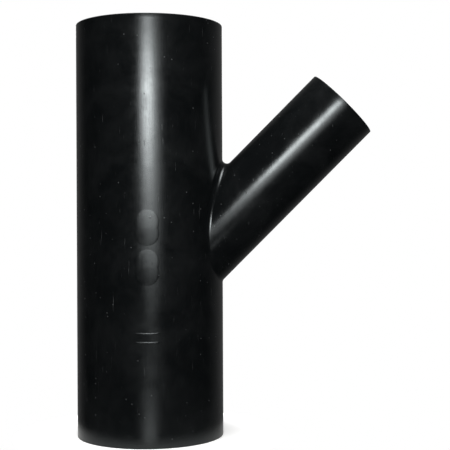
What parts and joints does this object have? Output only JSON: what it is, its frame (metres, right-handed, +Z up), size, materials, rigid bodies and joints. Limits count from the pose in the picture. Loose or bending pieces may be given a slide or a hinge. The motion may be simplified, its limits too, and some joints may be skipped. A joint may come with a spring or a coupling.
{
  "type": "lateral wye pipe fitting",
  "caption": "Black polyethylene 45 degree lateral wye for butt welding: a straight 75 mm run with a 40 mm branch rising from its side.",
  "frame": {"origin": "centre of the run's lower end face, on the run's axis", "axes": "+Z up along the run, +X towards the side that the branch rises from, the branch's axis in the XZ plane"},
  "size_m": [0.1505, 0.0752, 0.21],
  "materials": {
    "black_polyethylene": "satin, as moulded, with fine handling scratches"
  },
  "bodies": {
    "root": {"wye_body": "black_polyethylene"}
  },
  "joints": []
}
